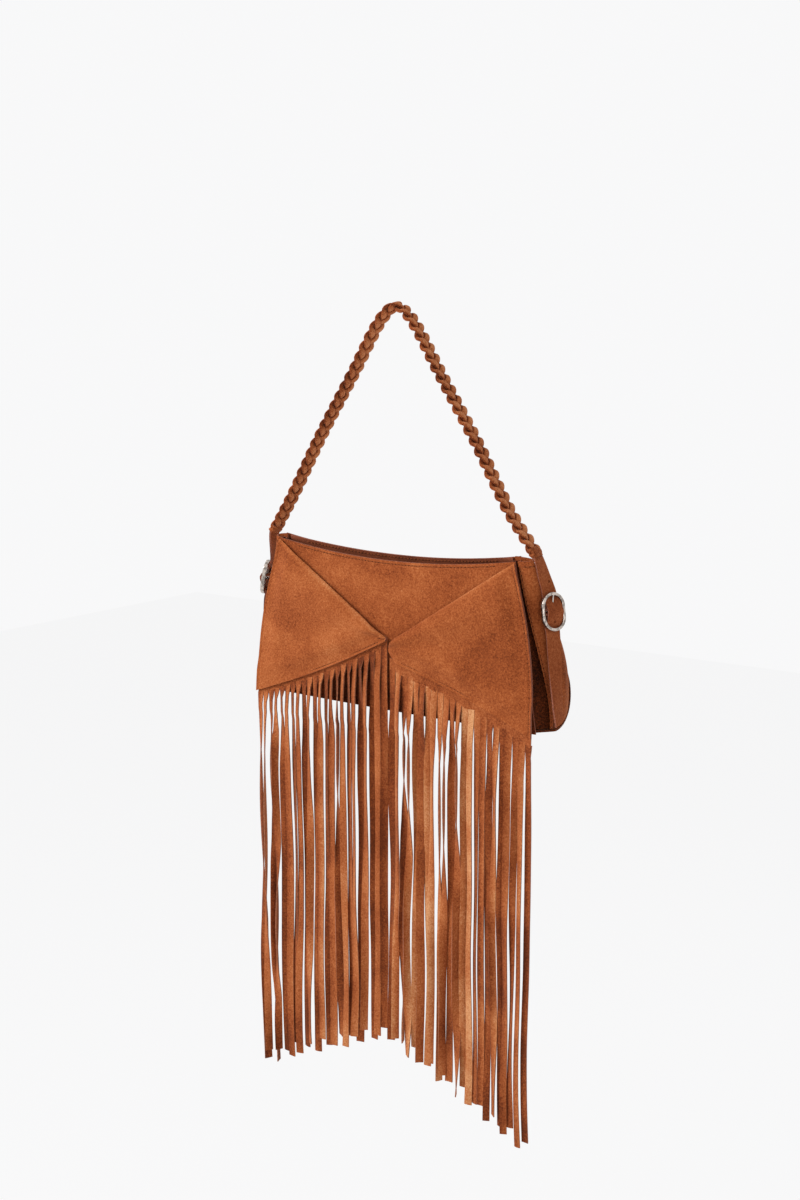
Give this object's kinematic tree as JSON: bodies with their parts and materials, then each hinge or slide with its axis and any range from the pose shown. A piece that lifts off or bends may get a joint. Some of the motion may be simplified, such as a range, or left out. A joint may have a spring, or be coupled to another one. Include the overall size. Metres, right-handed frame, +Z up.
{
  "type": "shoulder bag",
  "caption": "Fringed suede shoulder bag with two folded wings over the front, a plaited leather strap and buckled strap ends.",
  "frame": {"origin": "underside of the strap's crown, where the bag hangs", "axes": "+Z up, +Y from the front to the back, +X to the right seen from the front"},
  "size_m": [0.371, 0.0721, 0.7983],
  "materials": {
    "suede": "matte",
    "fringe_suede": "matte",
    "plait_leather": "satin",
    "smooth_leather": "satin",
    "polished_metal": "polished"
  },
  "bodies": {
    "bag": {"front_panel": "suede", "back_panel": "suede", "base_panel": "suede", "front_facing": "smooth_leather", "back_facing": "smooth_leather", "snap_stud": "polished_metal", "snap_socket": "polished_metal", "plaited_strap": "plait_leather", "gusset_left": "suede", "wing_left": "suede", "fringe_left": "fringe_suede", "chape_left": "plait_leather", "strap_end_left": "plait_leather", "strap_wrap_left": "plait_leather", "gusset_right": "suede", "wing_right": "suede", "fringe_right": "fringe_suede", "chape_right": "plait_leather", "strap_end_right": "plait_leather", "strap_wrap_right": "plait_leather"},
    "buckle_left": {"buckle_frame_left": "polished_metal"},
    "prong_left_body": {"prong_left": "polished_metal"},
    "buckle_right": {"buckle_frame_right": "polished_metal"},
    "prong_right_body": {"prong_right": "polished_metal"}
  },
  "joints": [
    {"name": "buckle_rock_left", "type": "hinge", "parent": "bag", "child": "buckle_left", "pos_m": [-0.17144, 0.00692, -0.271], "axis": [0.4067, -0.9135, 0], "range_deg": [-2, 2]},
    {"name": "prong_lift_left", "type": "hinge", "parent": "buckle_left", "child": "prong_left_body", "pos_m": [-0.17144, 0.00692, -0.271], "axis": [0.4067, -0.9135, 0], "range_deg": [0, 8]},
    {"name": "buckle_rock_right", "type": "hinge", "parent": "bag", "child": "buckle_right", "pos_m": [0.17144, 0.00692, -0.271], "axis": [0.4067, 0.9135, 0], "range_deg": [-2, 2]},
    {"name": "prong_lift_right", "type": "hinge", "parent": "buckle_right", "child": "prong_right_body", "pos_m": [0.17144, 0.00692, -0.271], "axis": [0.4067, 0.9135, 0], "range_deg": [0, 8]}
  ]
}
